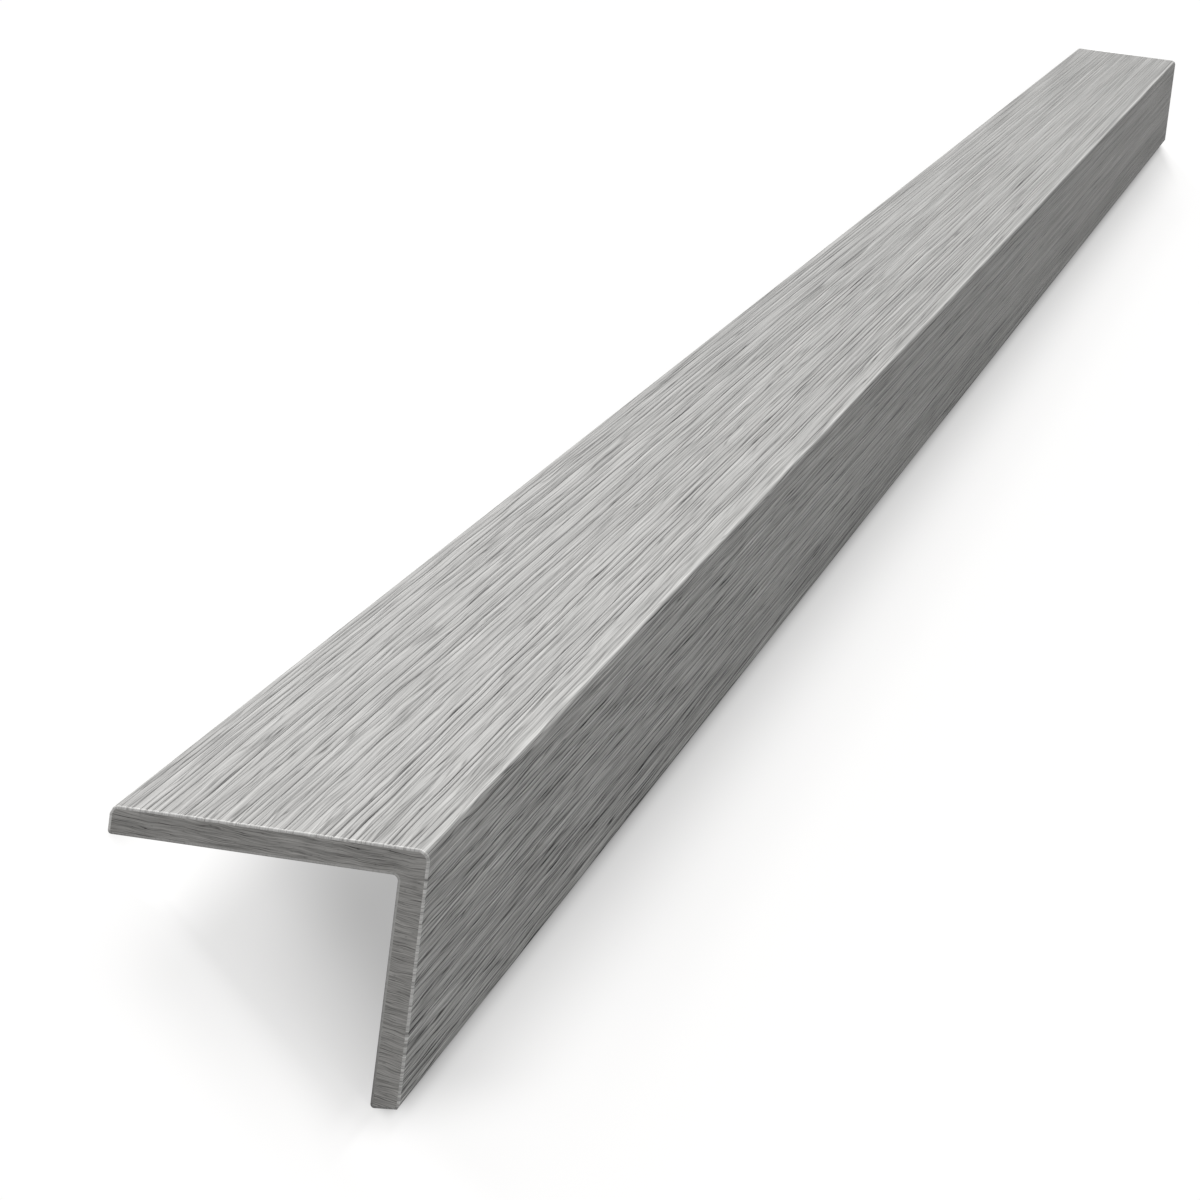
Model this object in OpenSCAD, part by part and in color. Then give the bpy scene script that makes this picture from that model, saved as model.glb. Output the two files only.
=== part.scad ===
// Corner trim profile: one length of L section, extruded from wood-plastic composite.
// It lies as it comes to rest on a level floor, on the inner edges of its two tips,
// like a roof, with its outer corner uppermost and its length along Y.

/* [Length] */
// Length of the trim
trim_length = 2900; // [300:10:6000]
// Width of the broken edge round each sawn end
end_break = 0.5; // [0.1:0.1:0.6]

/* [Section] */
// Width of the wide leg, from the outer corner to its tip
wide_leg = 55; // [25:1:120]
// Width of the narrow leg, from the outer corner to its tip
narrow_leg = 45; // [20:1:100]
// Thickness of both legs
wall = 5; // [4:0.5:12]

/* [Edges] */
// Radius of the round along the outer corner
corner_round = 2.2; // [0.6:0.1:3.5]
// Radius of the fillet along the inner corner
root_fillet = 1; // [0.6:0.1:4]
// Radius of the outer edge of the wide leg's tip
wide_tip_round = 1.5; // [0.6:0.1:2.5]
// Radius of the outer edge of the narrow leg's tip
narrow_tip_round = 1.2; // [0.6:0.1:2.5]
// Radius of the inner edge of both tips, on which the trim rests
rest_round = 0.7; // [0.6:0.1:1.2]

/* [Hidden] */
$fn = 64;
// Reach of a cutter past the faces that it cuts
over = 1;

// Sharp corners of the section, walked with the solid on the left, and the radius at each
outline = [
    [0, 0], [-wide_leg, 0], [-wide_leg, -wall],
    [-wall, -wall], [-wall, -narrow_leg], [0, -narrow_leg]
];
radii = [corner_round, wide_tip_round, rest_round, root_fillet, rest_round, narrow_tip_round];
sides = len(outline);
root = 3;

// The run of a side, its heading, and the flat width that its two rounds leave
function run(i) = outline[(i + 1) % sides] - outline[i];
function heading(i) = atan2(run(i)[1], run(i)[0]);
function flat_width(i) = norm(run(i)) - radii[i] - radii[(i + 1) % sides];

// Lean that brings both resting edges down to the floor
lean = atan2(narrow_leg - wall, wide_leg - wall);

// Centres of the rounds that touch the floor and the two sides of the leaning trim
rest_c = [-wide_leg + rest_round, -wall + rest_round];
wide_tip_c = [-wide_leg + wide_tip_round, -wide_tip_round];
narrow_tip_c = [-narrow_tip_round, -narrow_leg + narrow_tip_round];

// Where a point of the section lies across the floor, and how high, once it leans
function across(p) = p[0] * cos(lean) - p[1] * sin(lean);
function height(p) = p[0] * sin(lean) + p[1] * cos(lean);

floor_z = height(rest_c) - rest_round;
left_x = across(wide_tip_c) - wide_tip_round;
right_x = across(narrow_tip_c) + narrow_tip_round;

// Puts a shape at a corner of the section, with X along the side that leaves it
module at_corner(i) {
    translate(outline[i]) rotate(heading(i)) children();
}

// A full-length rod about Z. Its ends taper by the width of the broken edge, or flare
// by it where flare is 1.
module rod(r, flare = -1) {
    half = trim_length / 2;
    end_r = r + flare * end_break;
    rotate_extrude() polygon([
        [0, -half], [end_r, -half], [r, end_break - half],
        [r, half - end_break], [end_r, half], [0, half]
    ]);
}

// Cuts a sharp corner back to its round
module edge_cutter(r) {
    difference() {
        translate([-over, -over, -trim_length / 2 - over])
            cube([r + over, r + over, trim_length + 2 * over]);
        translate([r, r, 0]) rod(r);
    }
}

// Cuts the 45 degree break along a flat side, at both ends
module end_cutters(width) {
    for (end = [0, 1])
        mirror([0, 0, end])
            translate([width, 0, trim_length / 2])
                rotate([0, -90, 0])
                    linear_extrude(width)
                        polygon([[over, -over], [over, end_break + over], [-end_break - over, -over]]);
}

// The whole length, with its section in XY and its outer corner along Z
module straight_length() {
    difference() {
        linear_extrude(trim_length, center = true) {
            polygon(outline);
            translate(outline[root] - [root_fillet, root_fillet]) square(root_fillet + over);
        }
        translate(outline[root] - [root_fillet, root_fillet]) rod(root_fillet, 1);
        for (i = [0 : sides - 1]) at_corner(i) {
            if (i != root) edge_cutter(radii[i]);
            translate([radii[i], 0, 0]) end_cutters(flat_width(i));
        }
    }
}

module trim_profile() {
    color("silver")
        translate([-(left_x + right_x) / 2, 0, -floor_z])
            rotate([0, -lean, 0])
                rotate([90, 0, 0])
                    straight_length();
}

trim_profile();
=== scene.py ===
# Corner trim in light grey wood-plastic composite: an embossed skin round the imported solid.
# The trim lies like a roof on the inner edges of its two tips, with its length along Y.
import math

import bpy
import numpy as np
from mathutils import Matrix, Vector


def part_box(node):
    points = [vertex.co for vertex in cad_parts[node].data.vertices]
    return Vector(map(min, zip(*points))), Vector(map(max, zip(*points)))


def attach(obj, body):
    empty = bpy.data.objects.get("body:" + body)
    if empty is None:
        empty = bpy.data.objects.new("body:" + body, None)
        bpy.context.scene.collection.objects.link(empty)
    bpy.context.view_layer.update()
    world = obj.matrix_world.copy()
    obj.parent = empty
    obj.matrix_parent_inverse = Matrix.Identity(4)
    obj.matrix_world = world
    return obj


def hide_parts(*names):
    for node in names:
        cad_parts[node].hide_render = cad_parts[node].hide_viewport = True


mm = 0.001

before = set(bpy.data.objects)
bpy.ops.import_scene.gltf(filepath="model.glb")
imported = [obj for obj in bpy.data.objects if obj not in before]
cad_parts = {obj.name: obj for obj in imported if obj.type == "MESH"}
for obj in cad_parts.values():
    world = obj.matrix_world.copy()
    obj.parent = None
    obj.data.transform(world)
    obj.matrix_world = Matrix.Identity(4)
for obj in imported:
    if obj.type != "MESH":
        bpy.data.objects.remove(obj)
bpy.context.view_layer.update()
nodeLow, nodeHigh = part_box("trim_profile")
trimLength = nodeHigh.y - nodeLow.y
print(f"frame loaded: the trim is {trimLength:.3f} m long")

# The section that the die gives, and the eased edge round each sawn end
section = dict(
    wideLeg=55 * mm,
    narrowLeg=45 * mm,
    wall=5 * mm,
    cornerRound=2.2 * mm,
    rootFillet=1.0 * mm,
    wideTipRound=1.5 * mm,
    narrowTipRound=1.2 * mm,
    restRound=0.7 * mm,
    endEase=0.5 * mm,
)


class Outline:
    # The section's outline, walked with the solid on its left: over the narrow leg's tip, up its outer
    # face, along the top of the wide leg, over its tip, and back inside. After each straight run comes
    # the corner's arc. Piece i starts at girth s_i and point P_i, with heading a_i and bend k_i, which is
    # 0 when straight.
    def __init__(self, sizes):
        wide, narrow, wall = sizes["wideLeg"], sizes["narrowLeg"], sizes["wall"]
        corners = np.array([(-wall, -narrow), (0, -narrow), (0, 0),
                            (-wide, 0), (-wide, -wall), (-wall, -wall)])
        rounds = ("restRound", "narrowTipRound", "cornerRound", "wideTipRound", "restRound", "rootFillet")
        radii = np.array([sizes[name] for name in rounds])
        turns = np.array([1, 1, 1, 1, 1, -1])
        runs = np.roll(corners, -1, axis=0) - corners
        headings = np.arctan2(runs[:, 1], runs[:, 0])
        directions = np.stack([np.cos(headings), np.sin(headings)], axis=1)
        nextRadii = np.roll(radii, -1)
        flats = np.hypot(runs[:, 0], runs[:, 1]) - radii - nextRadii
        flatStarts = corners + directions * radii[:, None]
        arcStarts = flatStarts + directions * flats[:, None]
        self.points = np.stack([flatStarts, arcStarts], axis=1).reshape(-1, 2)
        self.headings = np.repeat(headings, 2)
        self.bends = np.stack([np.zeros_like(radii), np.roll(turns, -1) / nextRadii], axis=1).ravel()
        lengths = np.stack([flats, nextRadii * math.pi / 2], axis=1).ravel()
        self.stops = np.concatenate([[0], np.cumsum(lengths)])
        self.girth = self.stops[-1]

    def at(self, s):
        # Point P_i + d sinc(k_i d / 2) (cos m, sin m), with d = s - s_i and m = a_i + k_i d / 2,
        # and outward normal (sin h, -cos h), with h = a_i + k_i d
        i = np.clip(np.searchsorted(self.stops, s, side="right") - 1, 0, len(self.bends) - 1)
        d = s - self.stops[i]
        turned = self.bends[i] * d
        middle = self.headings[i] + turned / 2
        reach = d * np.sinc(turned / (2 * math.pi))
        point = self.points[i] + reach[..., None] * np.stack([np.cos(middle), np.sin(middle)], axis=-1)
        heading = self.headings[i] + turned
        normal = np.stack([np.sin(heading), -np.cos(heading)], axis=-1)
        return point, normal


outline = Outline(section)

# Girths that the grain is placed by. The side is the narrow leg's outer face: its tip's round starts at
# sideStart and ends at sideFlat, and the outer corner's round runs from sideEdge to topEdge. The top ends
# with the round of the wide leg's tip, at topEnd, and the tip's flat ends at tipEnd.
sideStart, sideFlat, sideEdge, topEdge = outline.stops[1:5]
topEnd, tipEnd = outline.stops[6:8]
grainPieces = (1, 6)                   # the grain covers the outline's pieces from 1 up to 6

# The embossed grain, cut by the roller into the two outer faces
grain = dict(
    seed=41,
    lines=79,
    gapSpread=(0.65, 1.35),            # share of the mean gap between two lines
    deepEvery=(1, 2, 2, 2, 3, 3),      # lines from one deep line to the next, drawn at random
    deep=(0.20 * mm, 0.32 * mm),
    shallow=(0.10 * mm, 0.19 * mm),
    deepHalfWidth=(0.16 * mm, 0.23 * mm),
    shallowHalfWidth=(0.11 * mm, 0.16 * mm),
    widthShare=0.4,                    # the most of the gap beside it that a half width takes
    # How far neighbouring lines stray together, and over what width and length, coarse to fine
    drift=((0.3 * mm, 10 * mm, 400 * mm),
           (0.17 * mm, 3.5 * mm, 80 * mm),
           (0.11 * mm, 2.2 * mm, 32 * mm)),
    jitter=0.12 * mm,                  # how far each line strays by itself
    jitterSize=50 * mm,
    leastGap=0.26 * mm,                # where lines run together
    strokeSize=(90 * mm, 240 * mm),    # short and long strokes of a line
    longShare=0.5,                     # strength of the long ones against the short ones
    strokeFade=(-1.0, -0.2),           # a line comes in between these values of its noise
    deepLonger=0.45,                   # and a deep line stays for longer
    stretch=1210 * mm,                 # the grain runs longer towards +Y, by (1 + d / stretch) ^ power
    power=1.6,
    lap=0.035 * mm,                    # step down where one strand laps over the next
    swell=0.03 * mm,
    swellSize=(4.5 * mm, 260 * mm),
    tipFade=2.0 * mm,
    cornerCalm=0.3,                    # share of the depth that is left on the outer corner
    calmReach=(1.2 * mm, 1.0 * mm),    # where it starts to fall, before the corner's round and after it
    cornerReach=3.0 * mm,              # the lines beside the corner run straight over this width
    endFade=0.9 * mm,                  # the last step before the end's round, over which the relief fades
    endRelief=0.3,                     # share of it that is left where the round starts
    stations=262,
    crowding=0.5,                      # 0 spaces the stations evenly, more crowds them to the ends
    easeSteps=4,
    plainArcSteps=5,                   # columns on the plain faces: on each arc, and their rough spacing
    plainStep=6 * mm,
)


def smoothStep(low, high, x):
    # t^2 (3 - 2 t), with t = (x - low) / (high - low) held to 0..1
    t = np.clip((x - low) / (high - low), 0, 1)
    return t * t * (3 - 2 * t)


def softBlend(t):
    # t^3 (t (6 t - 15) + 10), for t from 0 to 1
    return t ** 3 * (t * (t * 6 - 15) + 10)


def softNoise(rng, x, y, sizeX, sizeY):
    # Random values from -1 to 1 on a lattice of sizeX by sizeY, blended along both of its axes
    u, v = np.broadcast_arrays((x - x.min()) / sizeX, (y - y.min()) / sizeY)
    lattice = rng.uniform(-1, 1, (int(u.max()) + 2, int(v.max()) + 2))
    i, j = u.astype(int), v.astype(int)
    shareU, shareV = softBlend(u - i), softBlend(v - j)
    near = lattice[i, j] * (1 - shareV) + lattice[i, j + 1] * shareV
    far = lattice[i + 1, j] * (1 - shareV) + lattice[i + 1, j + 1] * shareV
    return near * (1 - shareU) + far * shareU


def lineNoise(rng, y, count, size):
    # Soft noise along y for each line by itself: line k lies on the lattice's own column k
    return softNoise(rng, np.arange(count)[None, :], y[:, None], 1, size)


def stationRows():
    # y = half (c sin(pi t / 2) + (1 - c) t) for t from -1 to 1, then the quarter round of each end:
    # y = half + e sin a and inset e (1 - cos a), with half measured to where the round starts. Over the
    # round the marks fade as 1 - sin a. The relief fades with them, from its share at the round's start.
    ease = section["endEase"]
    half = trimLength / 2 - ease
    t = np.linspace(-1, 1, grain["stations"])
    c = grain["crowding"]
    body = half * (c * np.sin(math.pi * t / 2) + (1 - c) * t)
    body = np.concatenate([[-half, grain["endFade"] - half], body[1:-1], [half - grain["endFade"], half]])
    angle = np.linspace(0, math.pi / 2, grain["easeSteps"] + 1)[1:]
    beyond = half + ease * np.sin(angle)
    inset = ease * (1 - np.cos(angle))
    rows = np.concatenate([-beyond[::-1], body, beyond])
    insets = np.concatenate([inset[::-1], np.zeros_like(body), inset])
    left = 1 - np.sin(angle)
    marks = np.concatenate([left[::-1], np.ones_like(body), left])
    relief = marks * np.where(np.abs(rows) < half - grain["endFade"] / 2, 1, grain["endRelief"])
    return rows, insets, marks, relief


def grainLength(y):
    # r / (p - 1) (1 - (1 + d / r) ^ (1 - p)), with d from the -Y end, whose slope is (1 + d / r) ^ -p
    r, p = grain["stretch"], grain["power"]
    return r / (p - 1) * (1 - (1 + (y + trimLength / 2) / r) ** (1 - p))


def grainColumns(rng, y):
    # Line k runs at s_k(y) = s0_k + free (drift(s0_k, y) + jitter_k(y)), with each gap to the next held
    # above the least. Its columns are the middle of the band before it, s_k - w, s_k and s_k + w.
    # A strand reaches from one deep line to the next, and sinks by lap (1 - f) at the share f of its
    # width and by the swell, with the depth of the lines cut into it. homes are the columns' places
    # before the lines stray.
    start, end = sideStart, topEnd
    count = grain["lines"]
    perLine, bottom = 4, 2             # a line has four columns, and its bottom is the third

    def between(middle):
        # The lines' places with the grain's two edges before and after them
        return np.pad(middle, ((0, 0), (1, 1)), constant_values=((0, 0), (start, end)))

    def nearCorner(before, after):
        # 1 on the outer corner's round, falling to 0 over one width before it and another after it
        return smoothStep(sideEdge - before, sideEdge, home) * smoothStep(topEdge + after, topEdge, home)

    def pick(deep, shallow):
        # A value for each line, drawn from the range of its kind
        return np.where(isDeep, rng.uniform(*grain[deep], count), rng.uniform(*grain[shallow], count))

    def columns(middle, width):
        before = np.concatenate([np.full_like(middle[..., :1], start), middle[..., :-1]], axis=-1)
        places = np.stack([(before + middle) / 2, middle - width, middle, middle + width], axis=-1)
        return places.reshape(*middle.shape[:-1], -1)

    gaps = rng.uniform(*grain["gapSpread"], count + 1)
    home = start + np.cumsum(gaps)[:-1] * (end - start) / gaps.sum()
    tipFade = grain["tipFade"]
    fade = smoothStep(start, start + tipFade, home) * smoothStep(end, end - tipFade, home)
    free = fade * (1 - nearCorner(grain["cornerReach"], grain["cornerReach"]))
    stray = grain["jitter"] * lineNoise(rng, y, count, grain["jitterSize"])
    for amount, sizeAcross, sizeAlong in grain["drift"]:
        stray = stray + amount * softNoise(rng, home[None, :], y[:, None], sizeAcross, sizeAlong)
    gap = np.maximum(np.diff(between(home + free * stray), axis=1), grain["leastGap"])
    gap = gap * (end - start) / gap.sum(axis=1, keepdims=True)
    centre = start + np.cumsum(gap, axis=1)[:, :-1]

    isDeep = np.isin(np.arange(count), np.cumsum(rng.choice(grain["deepEvery"], count)))
    room = grain["widthShare"] * np.minimum(gap[:, :-1], gap[:, 1:])
    width = np.minimum(pick("deepHalfWidth", "shallowHalfWidth"), room)
    depth = pick("deep", "shallow")
    short, long = [lineNoise(rng, y, count, size) for size in grain["strokeSize"]]
    longer = np.where(isDeep, grain["deepLonger"], 0)
    stroke = smoothStep(*grain["strokeFade"], short + grain["longShare"] * long + longer)
    calm = 1 - (1 - grain["cornerCalm"]) * nearCorner(*grain["calmReach"])
    depth = depth * stroke * fade * calm
    wander = softNoise(rng, home[None, :], y[:, None], *grain["swellSize"])
    swell = grain["swell"] * fade * (0.5 + 0.5 * wander)

    girth = columns(centre, width)
    homes = columns(home, np.mean(grain["deepHalfWidth"]))
    deepAt = np.flatnonzero(isDeep)
    edges = between(centre[:, deepAt])
    strand = np.searchsorted(perLine * deepAt + bottom, np.arange(perLine * count), side="right")
    low, high = edges[:, strand], edges[:, strand + 1]
    share = (girth - low) / (high - low)
    share[:, perLine * deepAt + bottom] = 0.5
    lap = grain["lap"] * (1 - share) * np.repeat(fade, perLine)
    cut = np.zeros((*centre.shape, perLine))
    cut[..., bottom] = depth
    cut = cut.reshape(girth.shape)
    sink = np.repeat(swell, perLine, axis=1) + lap + cut
    return girth, sink, cut / grain["deep"][1], share, homes


def plainStops(first, last):
    # Girths along the outline's pieces first to last - 1, evenly spaced in each: a set number on an arc,
    # and steps of about the plain step on a straight run
    stops = []
    for i in range(first, last):
        low, high = outline.stops[i], outline.stops[i + 1]
        straightSteps = max(1, round((high - low) / grain["plainStep"]))
        steps = grain["plainArcSteps"] if outline.bends[i] else straightSteps
        stops.append(np.linspace(low, high, steps, endpoint=False))
    return np.concatenate(stops)


def placeSection(flat):
    # (x cos a - z sin a, x sin a + z cos a) with the lean a, then moved so that the box of the plain
    # section starts where the solid's does
    lean = math.atan2(section["narrowLeg"] - section["wall"], section["wideLeg"] - section["wall"])
    turn = np.array([[math.cos(lean), math.sin(lean)], [-math.sin(lean), math.cos(lean)]])
    boxPoints = 4000                   # enough to find the box to a thousandth of a millimetre
    plain = outline.at(np.linspace(0, outline.girth, boxPoints))[0] @ turn
    shift = np.array([nodeLow.x, nodeLow.z]) - plain.min(axis=0)
    beyond = plain.max(axis=0) + shift - np.array([nodeHigh.x, nodeHigh.z])
    print("plain section against the solid's box, mm:", np.round(beyond / mm, 4))
    return flat @ turn + shift


def quadCorners(values):
    # The values at each quad's four corners, from rows that run on to where the girth closes
    return np.stack([values[:-1, :-1], values[1:, :-1], values[1:, 1:], values[:-1, 1:]], axis=-1)


def trimSkin():
    # Point (x, z) = outline(s) - normal max(sink, inset), leaned and set down, at each station y. Quads
    # join the rows round the closed girth, and one face closes each end.
    rng = np.random.default_rng(grain["seed"])
    y, inset, marks, relief = stationRows()
    grainY = grainLength(y)
    girth, sink, cut, share, homes = grainColumns(rng, grainY)
    rows = len(y)
    before = plainStops(0, grainPieces[0])
    after = plainStops(grainPieces[1], len(outline.bends))

    def widen(values, first, last):
        # The grain's columns with the plain faces' before and after them
        return np.concatenate([np.broadcast_to(first, (rows, len(before))), values,
                               np.broadcast_to(last, (rows, len(after)))], axis=1)

    girth = widen(girth, before, after)
    homes = np.concatenate([before, homes, after])
    sink = widen(sink, 0, 0) * relief[:, None]
    cut = widen(cut, 0, 0) * marks[:, None]
    share = widen(share, 0.5, 0.5)

    point, normal = outline.at(girth)
    flat = point - normal * np.maximum(sink, inset[:, None])[..., None]
    placed = placeSection(flat)
    stations = np.broadcast_to(y[:, None], girth.shape)
    vertices = np.stack([placed[..., 0], stations, placed[..., 1]], axis=-1)
    columns = girth.shape[1]
    index = np.arange(rows * columns).reshape(rows, columns)
    quads = quadCorners(np.concatenate([index, index[:, :1]], axis=1)).reshape(-1, 4)
    faces = quads.tolist() + [index[0].tolist(), index[-1, ::-1].tolist()]
    mesh = bpy.data.meshes.new("corner_trim_skin")
    mesh.from_pydata(vertices.reshape(-1, 3).tolist(), [], faces)

    # The UV map holds metres: round the girth and along the grain, and on the ends the section's own x
    # and z
    around = np.broadcast_to(np.append(homes, outline.girth), (rows, columns + 1))
    along = np.broadcast_to(grainY[:, None], (rows, columns + 1))
    uv = np.stack([quadCorners(around), quadCorners(along)], axis=-1).reshape(-1, 2)
    layer = mesh.uv_layers.new(name="grain")
    layer.data.foreach_set("uv", np.concatenate([uv, flat[0], flat[-1, ::-1]]).ravel())
    for name, values in dict(cut=cut, share=share).items():
        mesh.attributes.new(name, "FLOAT", "POINT").data.foreach_set("value", values.ravel())
    # The girth belongs to the faces' corners, so that it doesn't run back to 0 over the last quads
    closed = np.concatenate([girth, np.full((rows, 1), outline.girth)], axis=1)
    corners = np.concatenate([quadCorners(closed).ravel(), np.zeros(2 * columns)])
    mesh.attributes.new("girth", "FLOAT", "CORNER").data.foreach_set("value", corners)

    kinds = np.zeros(len(faces), int)
    kinds[-2:] = 1                     # the two ends have the second material, and are flat
    mesh.polygons.foreach_set("material_index", kinds)
    mesh.polygons.foreach_set("use_smooth", kinds == 0)
    mesh.validate()
    mesh.update()
    skin = bpy.data.objects.new("corner_trim_skin", mesh)
    bpy.context.scene.collection.objects.link(skin)
    print(f"skin: {rows} rows of {columns}, {2 * len(quads) + 2 * (columns - 2)} triangles")
    return skin


class Wire:
    # A node's output, whose arithmetic adds Math nodes to the finish it belongs to
    def __init__(self, finish, socket):
        self.finish = finish
        self.socket = socket

    def maths(self, operation, first, second):
        return self.finish.node("Math", dict(operation=operation), {0: first, 1: second})

    def __add__(self, other):
        return self.maths("ADD", self, other)

    def __radd__(self, other):
        return self.maths("ADD", other, self)

    def __sub__(self, other):
        return self.maths("SUBTRACT", self, other)

    def __rsub__(self, other):
        return self.maths("SUBTRACT", other, self)

    def __mul__(self, other):
        return self.maths("MULTIPLY", self, other)

    def __rmul__(self, other):
        return self.maths("MULTIPLY", other, self)

    def __abs__(self):
        return self.maths("ABSOLUTE", self, 0)


# What all noises and combs share
patterns = dict(
    seedShift=(17.3, 9.1),      # how far apart two seeds read the noise
    noiseRough=0.6,
    combSway=2.2,               # width of the noise that sways a comb's lines, in pitches
    combBreak=(1.1, 1.6),       # size of the noise that breaks them, in pitches and in lengths
    combShow=(0.32, 0.66),      # and its values from where a line is gone to where it is whole
)


class Finish:
    # A node tree being built. node() is the one way a node is added.
    def __init__(self, tree):
        self.tree = tree
        tree.nodes.clear()

    def node(self, kind, settings, sockets, result=0):
        made = self.tree.nodes.new("ShaderNode" + kind)
        for name, value in settings.items():
            setattr(made, name, value)
        for name, value in sockets.items():
            if isinstance(value, Wire):
                self.tree.links.new(value.socket, made.inputs[name])
            else:
                made.inputs[name].default_value = value
        return Wire(self, made.outputs[result]) if made.outputs else made

    def noise(self, place, sizeU, sizeV, seed, detail=0):
        # Soft noise from 0 to 1 whose features are sizeU across and sizeV along the place's two axes
        shiftU, shiftV = patterns["seedShift"]
        scaled = self.node("VectorMath", dict(operation="MULTIPLY_ADD"),
                           {0: place, 1: (1 / sizeU, 1 / sizeV, 0), 2: (shiftU * seed, shiftV * seed, 0)})
        return self.node("TexNoise", dict(noise_dimensions="2D"),
                         {"Vector": scaled, "Scale": 1, "Detail": detail,
                          "Roughness": patterns["noiseRough"]})

    def ease(self, value, low, high):
        # 0 at low and 1 at high, with a smooth step between
        return self.node("MapRange", dict(interpolation_type="SMOOTHSTEP"),
                         {"Value": value, "From Min": low, "From Max": high})

    def reach(self, value, stops, start=0):
        # Stops are measured from the start. Two of them ease from 0 at the first to 1 at the second, and
        # with three the value is 1 at the second and 0 again from the third.
        low, top, *high = [start + stop for stop in stops]
        up = self.ease(value, low, top)
        return up * self.ease(value, high[0], top) if high else up

    def waved(self, place, slide, sizeU, sizeV, seed):
        # The place, moved sideways by up to about half the slide
        aside = (self.noise(place, sizeU, sizeV, seed) - 0.5) * (2 * slide)
        return self.node("VectorMath", dict(operation="ADD"),
                         {0: place, 1: self.node("CombineXYZ", {}, {0: aside})})

    def hairlines(self, place, sizeU, sizeV, thin, seed):
        # Thin lines where stretched noise crosses its middle value, so they fork and close into long eyes
        return 1 - self.ease(abs(self.noise(place, sizeU, sizeV, seed) - 0.5), 0, thin)

    def comb(self, place, pitch, sway, sizeV, thin, seed):
        # Fine lines a pitch apart, where the phase u / pitch + sway noise passes a whole number, each of
        # them coming and going along its length
        across = self.node("SeparateXYZ", {}, {0: place}, 0)
        swayed = self.noise(place, patterns["combSway"] * pitch, sizeV, seed, detail=1)
        phase = across * (1 / pitch) + sway * swayed
        away = self.node("Math", dict(operation="PINGPONG"), {0: phase, 1: 0.5})
        pitches, lengths = patterns["combBreak"]
        breaks = self.noise(place, pitches * pitch, lengths * sizeV, seed + 1)
        return self.ease(away, thin, 0) * self.reach(breaks, patterns["combShow"])

    def shade(self, colour, tone):
        # The colour times the tone, as a colour still
        return self.node("VectorMath", dict(operation="SCALE"), {0: colour, "Scale": tone})

    def surface(self, look, tone, relief):
        # The look's colour at this tone, with the relief as its bump
        bump = self.node("Bump", {}, {"Height": relief, "Distance": look["reliefDepth"]})
        shader = self.node("BsdfPrincipled", {}, {
            "Base Color": self.shade(look["colour"], tone),
            "Roughness": look["rough"],
            "Specular IOR Level": look["specular"],
            "Normal": bump,
        })
        self.node("OutputMaterial", {}, {"Surface": shader})


def newMaterial(name):
    # A material whose node tree is empty, and the finish that fills it
    material = bpy.data.materials.new(name)
    material.use_nodes = True
    return material, Finish(material.node_tree)


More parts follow.
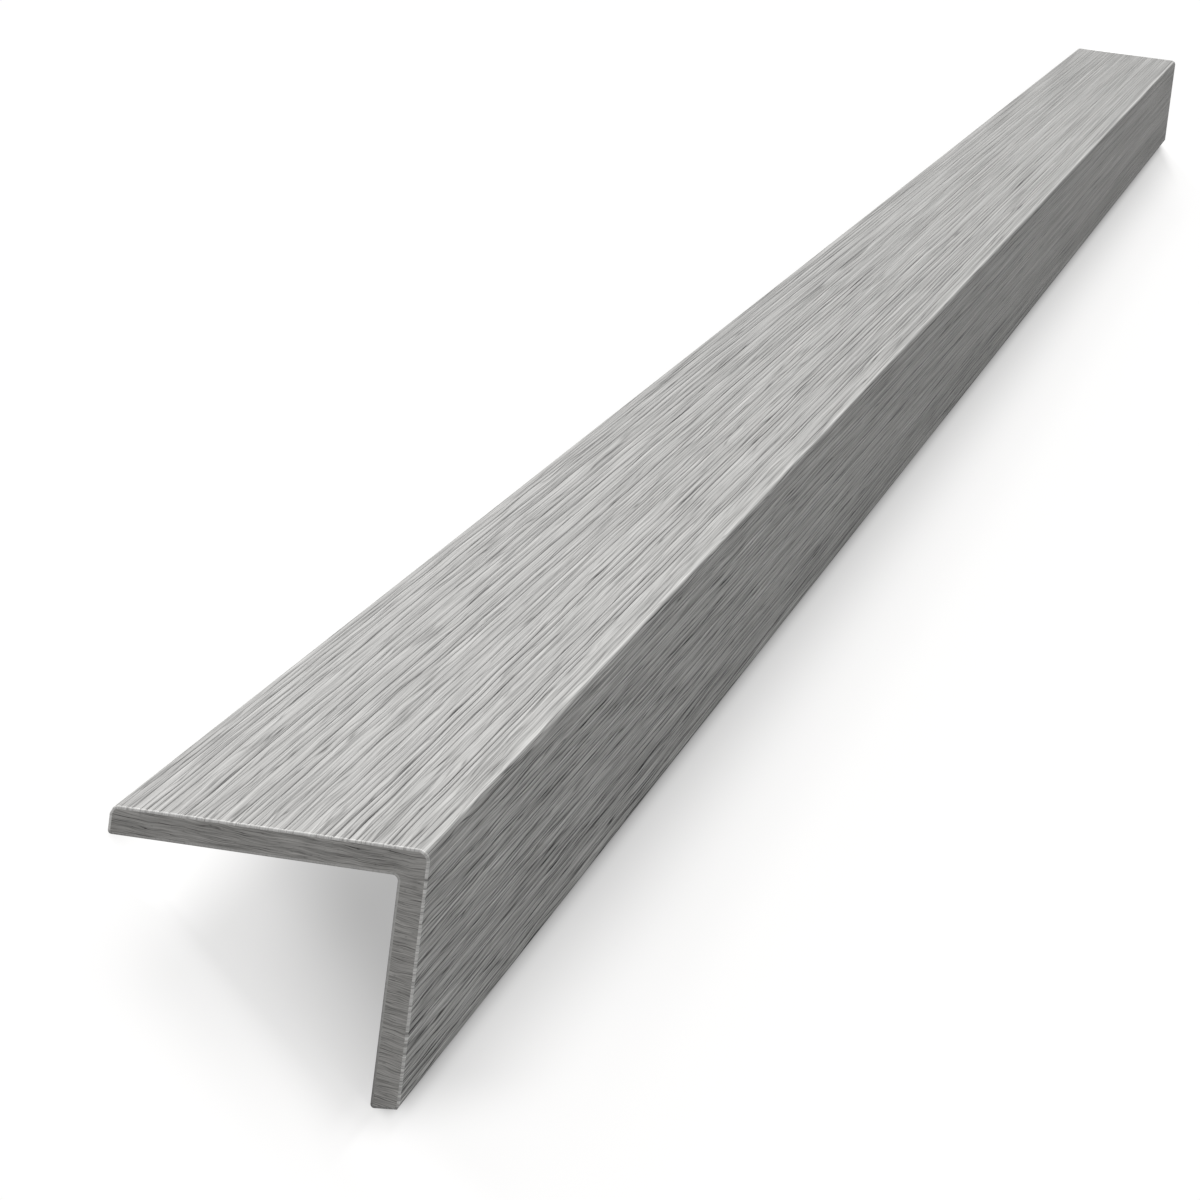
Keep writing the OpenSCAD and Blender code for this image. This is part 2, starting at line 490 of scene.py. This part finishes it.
composite = dict(
    colour=(0.585, 0.58, 0.568),
    rough=0.78,
    specular=0.1,
    reliefDepth=0.05 * mm,
    # Noises: size across the grain, size along it, seed, detail
    bandNoise=(6 * mm, 500 * mm, 1, 1),
    wideNoise=(2.4 * mm, 60 * mm, 8, 1),
    strandNoise=(0.6 * mm, 70 * mm, 2, 1),
    fibreNoise=(0.22 * mm, 40 * mm, 3, 1),
    hairBreak=(1.4 * mm, 70 * mm, 5),
    hairShow=(0.4, 0.6),                 # values of the last one from where a hairline is gone to whole
    wave=(0.22 * mm, 1.8 * mm, 34 * mm, 6),         # slide, size across, size along, seed
    hairs=(1.5 * mm, 150 * mm, 0.05, 4),            # size across, size along, thinness, seed
    threads=(0.83 * mm, 2.4, 60 * mm, 0.2, 10),     # pitch, sway, size along, thinness, seed
    fur=(0.41 * mm, 2.4, 36 * mm, 0.3, 20),
    # How much each of them counts for in the tone, and in the relief against the strands
    bandTone=0.12,
    wideTone=0.42,                       # only towards the far end
    strandTone=0.5,
    fibreTone=0.6,
    hairDark=0.3,
    threadDark=0.4,
    furDark=0.24,
    fibreRelief=0.6,
    hairRelief=0.6,
    threadRelief=0.6,
    furRelief=0.3,
    lapShade=0.12,                      # painted shade across each strand: it pales from its sunk edge to its raised one
    insideFine=0.3,                      # share of the fine marks that the inner faces have
    outerEdge=0.4 * mm,                  # past the grain's edges, where they fall to that share
    sideTone=0.7,                        # the fine marks are stronger on the near part of the side
    sideAlong=(-0.5, -1.4),
    # Grooves: their tone, partly the grain's dark lines and partly painted shade in the recesses, the cut
    # from where it starts to where it is full, and where they are fainter
    grooveShadeAndGrain=0.66,
    grooveCut=(0.04, 0.52),
    rimCalm=0.85,                        # on the eased edge round the ends
    sideCalm=0.3,                        # on the side, as the far tone comes in
    farFaint=0.45,                       # towards the far end, the fine marks too
    faintAlong=(-0.6, 1.2),
    # The outer corner: a crest at this share of its round, paler with wear and a painted highlight, a
    # dark strip on the top, and painted shade over the round's lower part
    crestShare=0.62,
    wornHighlightPale=0.42,
    wornHighlightAt=(-0.3 * mm, 0.2 * mm, 0.7 * mm),         # from the crest
    besideDark=0.16,
    besideAt=(-0.5 * mm, 0.1 * mm, 0.6 * mm),       # from the edge of the top
    roundShadeDark=0.3,
    roundShadeAt=(-3.74 * mm, -1 * mm, -0.1 * mm),         # from the crest
    # The eased edge round the ends: paler with wear and a painted highlight, fainter inside and dark
    # again below the narrow leg's tip
    rimWornHighlight=0.6,
    rimAt=(0.9 * mm, 0.45 * mm),                    # from the end
    insideRim=0.3,
    underAt=(0.5 * mm, -0.5 * mm),                  # from the start of the side
    underRimAt=(0.15 * mm, 0.35 * mm),              # from the end
    # Parts that are darker: the side's foot, as painted shade where it comes down to the floor, its low
    # part, the far part, and the top towards the far end
    footShade=0.55,
    footAt=(0.7 * mm, -1.0 * mm),                   # from the start of the side's flat
    lowDark=0.14,
    lowAt=(-23 * mm, -34 * mm),                     # from the edge of the side
    lowAlong=(-1.45, -1.2),
    farDark=0.15,
    farAlong=(-1.5, -0.1),
    endDark=0.08,
    endAlong=(0.2, 1.45),
)


def compositeSkin():
    # tone = (1 + bands + fine marks + lap shade + worn highlight - beside - round shade - foot shade -
    # low - far - end) (1 - grooves) + rim, times the composite's own grey, with fine marks = strands +
    # fibres - hairs - threads - fur.
    # Lap, round and foot shade are painted shade, the grooves are grain lines with painted shade, and the
    # worn crest and the rim are wear with a painted highlight
    look = composite
    material, finish = newMaterial("embossed composite")
    place = finish.node("UVMap", dict(uv_map="grain"), {})
    spot = finish.node("TexCoord", {}, {}, "Object")
    along = finish.node("SeparateXYZ", {}, {0: spot}, 1)
    cut, share, girth = [finish.node("Attribute", dict(attribute_name=name), {}, "Fac")
                         for name in ("cut", "share", "girth")]

    waved = finish.waved(place, *look["wave"])
    bands = finish.noise(place, *look["bandNoise"]) - 0.5
    wide = finish.noise(place, *look["wideNoise"]) - 0.5
    strands = finish.noise(waved, *look["strandNoise"]) - 0.5
    fibres = finish.noise(waved, *look["fibreNoise"]) - 0.5
    hairs = finish.hairlines(waved, *look["hairs"])
    hairs = hairs * finish.reach(finish.noise(place, *look["hairBreak"]), look["hairShow"])
    threads = finish.comb(waved, *look["threads"])
    fur = finish.comb(waved, *look["fur"])

    crest = sideEdge + look["crestShare"] * (topEdge - sideEdge)
    # The crest is paler with wear and carries a painted highlight
    wornHighlight = finish.reach(girth, look["wornHighlightAt"], crest)
    beside = finish.reach(girth, look["besideAt"], topEdge)
    # Painted shade over the corner round's lower part, towards the side
    roundShade = finish.reach(girth, look["roundShadeAt"], crest)
    onSide = finish.ease(girth, topEdge, sideEdge)
    onTop = finish.ease(girth, sideEdge, topEdge)
    fromEnd = trimLength / 2 - abs(along)
    edge = look["outerEdge"]
    outside = finish.ease(girth, sideStart - edge, sideStart) * finish.ease(girth, topEnd + edge, topEnd)
    toTip = finish.ease(girth, tipEnd + edge, tipEnd)
    rim = finish.reach(fromEnd, look["rimAt"]) * (look["insideRim"] + (1 - look["insideRim"]) * toTip)
    under = finish.reach(girth, look["underAt"], sideStart)
    rim = rim * (1 - under * finish.reach(fromEnd, look["underRimAt"]))
    foot = finish.reach(girth, look["footAt"], sideFlat)
    low = finish.reach(girth, look["lowAt"], sideEdge) * finish.reach(along, look["lowAlong"])
    far = finish.reach(along, look["farAlong"])
    end = finish.reach(along, look["endAlong"]) * onTop
    side = onSide * finish.reach(along, look["sideAlong"])
    faint = finish.reach(along, look["faintAlong"])
    clear = 1 - look["farFaint"] * faint

    fine = look["strandTone"] * strands + look["fibreTone"] * fibres
    fine = fine - look["hairDark"] * hairs - look["threadDark"] * threads - look["furDark"] * fur
    fine = fine * (look["insideFine"] + (1 - look["insideFine"]) * outside)
    fine = fine * (1 + look["sideTone"] * side) * clear
    tone = 1 + look["bandTone"] * bands + look["wideTone"] * faint * wide + fine
    # Painted shade across each strand, and the crest's wear with its painted highlight
    tone = tone + look["lapShade"] * (share - 0.5) + look["wornHighlightPale"] * wornHighlight
    # Painted shade over the corner round's lower part and along the side's foot
    tone = tone - look["besideDark"] * beside - look["roundShadeDark"] * roundShade - look["footShade"] * foot
    tone = tone - look["lowDark"] * low - look["farDark"] * far - look["endDark"] * end
    # The grooves' darkening: the grain's dark lines and painted shade in the recesses
    groove = finish.reach(cut, look["grooveCut"]) * (1 - look["rimCalm"] * rim) * clear
    groove = groove * (1 - look["sideCalm"] * onSide * far)
    # The rim's paleness: wear and a painted highlight
    tone = tone * (1 - look["grooveShadeAndGrain"] * groove) + look["rimWornHighlight"] * rim
    relief = strands + look["fibreRelief"] * fibres - look["hairRelief"] * hairs
    relief = relief - look["threadRelief"] * threads - look["furRelief"] * fur
    finish.surface(look, tone, relief)
    return material


sawn = dict(
    colour=(0.545, 0.536, 0.52),
    rough=0.8,
    specular=0.1,
    reliefDepth=0.03 * mm,
    # The layers run along the wide leg. Noises: size across the layers, size along them, seed, detail
    layerNoise=(0.7 * mm, 14 * mm, 2, 1),
    fibreNoise=(0.17 * mm, 6 * mm, 3, 1),
    fleckNoise=(0.3 * mm, 1.1 * mm, 7),
    fleckShow=(0.74, 0.86),     # values of the last one from where a fleck starts to where it is full
    lines=(0.36 * mm, 2.2, 7 * mm, 0.3, 4),         # pitch, sway, size along, thinness, seed
    threads=(0.24 * mm, 2.0, 5 * mm, 0.34, 11),
    streaks=(0.9 * mm, 20 * mm, 0.05, 6),           # size across, size along, thinness, seed
    # How the layers wander: by how much, over what size in x and in z, with seed and detail
    wave=0.7 * mm,
    waveNoise=(6 * mm, 3 * mm, 1, 1),
    tilt=0.05,                  # how much the layers drop for each step towards the outer corner
    legTilt=0.12,               # and how much more on the narrow leg
    legAt=(-4 * mm, -11 * mm),  # heights between which the narrow leg starts
    layerTone=0.6,
    fibreTone=0.8,
    lineDark=0.42,
    threadDark=0.34,
    streakDark=0.15,
    fleckDark=0.2,
    fibreRelief=0.5,            # against the layers and the lines
    legPale=0.08,
    footPale=0.34,              # towards the narrow leg's tip
    footAt=(-22 * mm, -50 * mm),
)


def sawnEnd():
    # tone = (1 + layers + fibres - lines - threads - streaks - flecks) (1 + leg + foot), on the section's
    # own x and z
    look = sawn
    material, finish = newMaterial("sawn composite end")
    place = finish.node("UVMap", dict(uv_map="grain"), {})
    x = finish.node("SeparateXYZ", {}, {0: place}, 0)
    z = finish.node("SeparateXYZ", {}, {0: place}, 1)
    wave = (finish.noise(place, *look["waveNoise"]) - 0.5) * look["wave"]
    leg = finish.reach(z, look["legAt"])
    foot = finish.reach(z, look["footAt"])
    bent = finish.node("CombineXYZ", {}, {0: z + wave + x * (look["tilt"] + look["legTilt"] * leg), 1: x})
    layers = finish.noise(bent, *look["layerNoise"]) - 0.5
    fibres = finish.noise(bent, *look["fibreNoise"]) - 0.5
    lines = finish.comb(bent, *look["lines"])
    threads = finish.comb(bent, *look["threads"])
    streaks = finish.hairlines(bent, *look["streaks"])
    flecks = finish.reach(finish.noise(bent, *look["fleckNoise"]), look["fleckShow"])
    tone = 1 + look["layerTone"] * layers + look["fibreTone"] * fibres - look["lineDark"] * lines
    tone = tone - look["threadDark"] * threads - look["streakDark"] * streaks - look["fleckDark"] * flecks
    tone = tone * (1 + look["legPale"] * leg + look["footPale"] * foot)
    finish.surface(look, tone, layers + look["fibreRelief"] * fibres - lines)
    return material


skin = trimSkin()
skin.data.materials.append(compositeSkin())
skin.data.materials.append(sawnEnd())
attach(skin, "root")
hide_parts("trim_profile")
print("skin dressed")

# A white studio: the key lamp is high on the wide leg's side, and the world fills from all round
studio = dict(
    keyLevel=0.81,                   # 1 lights a surface that faces the lamp at the colour it is written
    keyRise=36,                      # degrees above the floor
    keyBehind=42,                    # degrees from -X towards +Y
    keySpread=38,                    # degrees across, as seen from the trim
    fill=0.33,                       # the world's strength
    floorRadius=60,
    floorSides=96,
    floorColour=(0.2, 0.1995, 0.199),
    bounceColour=(0.6, 0.598, 0.596),
    glowTint=(1.003, 0.999, 0.996),
    glow=0.848,
    # Painted shade and painted light on the floor: what each patch adds to the glow, with its reach
    # across
    # from the line where the narrow leg's tip rests, and its reach in from the nearer end (front, tip and
    # foot:
    # from the -Y end, because the key lamp throws its shadow that way): from none to full, and to none
    # again where there are three stops
    footLine=31.7 * mm,
    footWidth=2 * mm,                # where the painted shade between the legs gives way to the painted shade beside them
    tentTone=-0.4,                   # painted shade between the legs, sooner beside the narrow one
    tentAcross=(-66 * mm, -22 * mm),
    tentIn=(-57 * mm, 86 * mm),
    tentSlant=1.05,
    frontTone=-0.122,                # painted shade in front of the opening
    frontAcross=(-55 * mm, -38 * mm, 11 * mm),
    frontIn=(-90 * mm, -24 * mm, 60 * mm),
    tipTone=0.216,                   # painted light just inside the wide leg's tip
    tipAcross=(-68 * mm, -55 * mm, -37.5 * mm),
    tipIn=(-18 * mm, 2.5 * mm),
    sideTone=-0.41,                  # painted shade beside the narrow leg, later further out
    sideAcross=(28.4 * mm, -10 * mm),
    sideIn=(-37 * mm, 39 * mm),
    sideSlant=-4,
    farTone=-0.048,                  # painted shade, wider away from the ends
    farAcross=(43.5 * mm, 24 * mm),
    farIn=(60 * mm, 330 * mm),
    closeTone=-0.3,                  # painted shade close to the narrow leg
    closeAcross=(7.5 * mm, 0.5 * mm),
    closeIn=(8 * mm, 24 * mm),
    footTone=0.06,                   # painted light round the narrow leg's end
    footAcross=(-4.4 * mm, 0 * mm, 60 * mm),
    footIn=(-52 * mm, -14 * mm, 31 * mm),
    gapTone=-0.45,                   # painted shade in the gap under the narrow leg's leaning tip
    gapAcross=(-0.5 * mm, 1.5 * mm, 4.5 * mm),
    gapIn=(0 * mm, 14 * mm),
)


def studioFloor():
    # A pale disc at z = 0. For the camera it is a faint paper that keeps the shadow, with a glow on it
    # that
    # carries painted shade and painted light: glow + front + gap + tip + foot, + tent between the legs, +
    # side + far
    # + close beside them, each an amount times a smooth reach across and another in
    turn = np.linspace(0, 2 * math.pi, studio["floorSides"], endpoint=False)
    rim = studio["floorRadius"] * np.stack([np.cos(turn), np.sin(turn), 0 * turn], axis=1)
    mesh = bpy.data.meshes.new("studio_floor")
    mesh.from_pydata(rim.tolist(), [], [list(range(len(turn)))])
    floor = bpy.data.objects.new("studio_floor", mesh)
    bpy.context.scene.collection.objects.link(floor)
    material, finish = newMaterial("white paper with painted shade")
    spot = finish.node("TexCoord", {}, {}, "Object")
    across = finish.node("SeparateXYZ", {}, {0: spot}, 0) - studio["footLine"]
    along = finish.node("SeparateXYZ", {}, {0: spot}, 1)
    inward, inside = trimLength / 2 - abs(along), trimLength / 2 + along

    # Each patch is painted shade, or painted light where its amount is above 0
    def paintedPatch(name, start):
        tone = studio[name + "Tone"] * finish.reach(across, studio[name + "Across"])
        return tone * finish.reach(start, studio[name + "In"])

    between = finish.ease(across, studio["footWidth"], 0)
    tent = paintedPatch("tent", inward + across * studio["tentSlant"])
    beside = paintedPatch("side", inward + across * studio["sideSlant"]) + paintedPatch("far", inward)
    beside = beside + paintedPatch("close", inward)
    ends = paintedPatch("front", inside) + paintedPatch("gap", inward) + paintedPatch("tip", inside) + paintedPatch("foot", inside)
    level = studio["glow"] + ends + tent * between + beside * (1 - between)
    seen = finish.node("LightPath", {}, {}, "Is Camera Ray")
    paper = finish.node("BsdfDiffuse", {}, {"Color": (*studio["floorColour"], 1)})
    bounce = finish.node("BsdfDiffuse", {}, {"Color": (*studio["bounceColour"], 1)})
    glow = finish.node("Emission", {}, {"Color": finish.shade(studio["glowTint"], level)})
    both = finish.node("AddShader", {}, {0: paper, 1: glow})
    surface = finish.node("MixShader", {}, {0: seen, 1: bounce, 2: both})
    finish.node("OutputMaterial", {}, {"Surface": surface})
    mesh.materials.append(material)


def studioWorld():
    # White to the camera, to gloss and through glass, and the fill's strength to everything else
    world = bpy.data.worlds.new("white studio")
    bpy.context.scene.world = world
    world.use_nodes = True
    finish = Finish(world.node_tree)
    camera = finish.node("LightPath", {}, {}, "Is Camera Ray")
    glossy = finish.node("LightPath", {}, {}, "Is Glossy Ray")
    through = finish.node("LightPath", {}, {}, "Is Transmission Ray")
    seen = camera + glossy + through
    strength = studio["fill"] + (1 - studio["fill"]) * seen
    light = finish.node("Background", {}, {"Color": (1, 1, 1, 1), "Strength": strength})
    finish.node("OutputWorld", {}, {"Surface": light})


def keyLamp():
    # A distant lamp whose light comes from (-cos r cos b, cos r sin b, sin r), with rise r and turn b
    rise, behind = math.radians(studio["keyRise"]), math.radians(studio["keyBehind"])
    level = math.cos(rise)
    source = Vector((-level * math.cos(behind), level * math.sin(behind), math.sin(rise)))
    lamp = bpy.data.lights.new("key", "SUN")
    lamp.energy = math.pi * studio["keyLevel"]
    lamp.angle = math.radians(studio["keySpread"])
    key = bpy.data.objects.new("key", lamp)
    key.matrix_world = source.to_track_quat("Z", "Y").to_matrix().to_4x4()
    bpy.context.scene.collection.objects.link(key)


studioFloor()
studioWorld()
keyLamp()
print("studio lit")

# The photograph's view: from above the near end, with the camera rolled so that the wide leg looks level
view = dict(
    eye=(-0.0060, -2.6607, 0.2948),
    heading=0.12,
    dive=9.68,
    roll=46.27,
    lens=221.2,
    sensor=36,
    farClip=240,                # past the floor's rim
)


def photoCamera():
    # Looks along +Y, turned by the heading to +X, dipped by the dive, and rolled by turning about its own
    # line of sight
    data = bpy.data.cameras.new("photo_view")
    data.lens = view["lens"]
    data.sensor_width = view["sensor"]
    data.clip_end = view["farClip"]
    camera = bpy.data.objects.new("photo_view", data)
    heading, dive, roll = (math.radians(view[name]) for name in ("heading", "dive", "roll"))
    camera.matrix_world = (Matrix.Translation(view["eye"])
                           @ Matrix.Rotation(-heading, 4, "Z")
                           @ Matrix.Rotation(math.pi / 2 - dive, 4, "X")
                           @ Matrix.Rotation(roll, 4, "Z"))
    bpy.context.scene.collection.objects.link(camera)
    bpy.context.scene.camera = camera


photoCamera()
bpy.context.scene.view_settings.view_transform = "Standard"
print("camera set")
